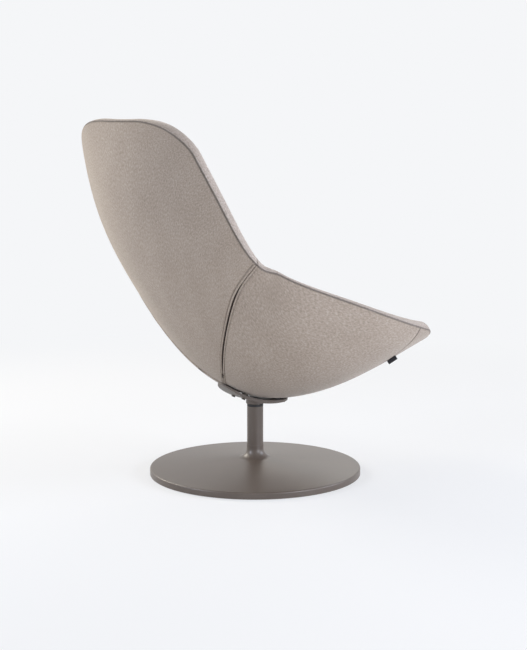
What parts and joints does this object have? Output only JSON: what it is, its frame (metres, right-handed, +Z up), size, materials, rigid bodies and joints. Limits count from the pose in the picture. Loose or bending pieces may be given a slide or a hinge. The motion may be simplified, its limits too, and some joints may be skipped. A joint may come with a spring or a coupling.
{
  "type": "pedestal swivel armchair",
  "caption": "Upholstered lounge armchair with one curved bucket shell, wrapped in sewn cloth panels, that turns on a slim column over a round weighted disc.",
  "frame": {"origin": "on the floor at the column axis, the centre of the base disc", "axes": "+Z up along the column, the chair faces -Y, +X to the sitter's left"},
  "size_m": [0.7252, 0.8832, 1.0031],
  "materials": {
    "painted_steel": "satin taupe powder coat",
    "plain_steel": "machined and oiled",
    "zinc_steel": "bright zinc",
    "black_polymer": "moulded black",
    "plywood": "raw moulded veneer",
    "foam": "open-cell upholstery foam",
    "outer_cloth": "heathered taupe flat weave",
    "inner_cloth": "heathered beige flat weave",
    "zip_tape": "dark woven tape",
    "zip_metal": "dark bronze",
    "tab_cloth": "bare dark ribbon"
  },
  "bodies": {
    "base": {"glide_ring": "black_polymer", "ballast_plate": "plain_steel", "base_cover": "painted_steel", "column_tube": "painted_steel", "column_flange": "plain_steel", "column_bolts": "zinc_steel", "upper_bush": "black_polymer", "lower_bush": "black_polymer", "thrust_washer": "black_polymer"},
    "seat": {"spindle": "plain_steel", "spindle_washer": "plain_steel", "retaining_ring": "zinc_steel", "bracket_hub": "painted_steel", "seat_bracket": "painted_steel", "bracket_spacers": "zinc_steel", "bracket_screws": "zinc_steel", "shell_nuts": "zinc_steel", "shell": "plywood", "outer_foam_back": "foam", "outer_foam_seat": "foam", "back_foam": "foam", "seat_foam": "foam", "inner_cover_back": "inner_cloth", "inner_cover_seat": "inner_cloth", "outer_cover_back": "outer_cloth", "outer_cover_left": "outer_cloth", "outer_cover_right": "outer_cloth", "outer_cover_front": "outer_cloth", "rim_band_seat": "inner_cloth", "rim_band_back": "inner_cloth", "zip_tape_left": "zip_tape", "zip_tape_right": "zip_tape", "zip_chain_left": "zip_metal", "zip_chain_right": "zip_metal", "zip_slider_left": "zip_metal", "zip_slider_right": "zip_metal", "seam_tab": "tab_cloth"}
  },
  "joints": [
    {"name": "swivel", "type": "hinge", "parent": "base", "child": "seat", "pos_m": [0, 0, 0.2], "axis": [0, 0, 1], "continuous": true}
  ]
}
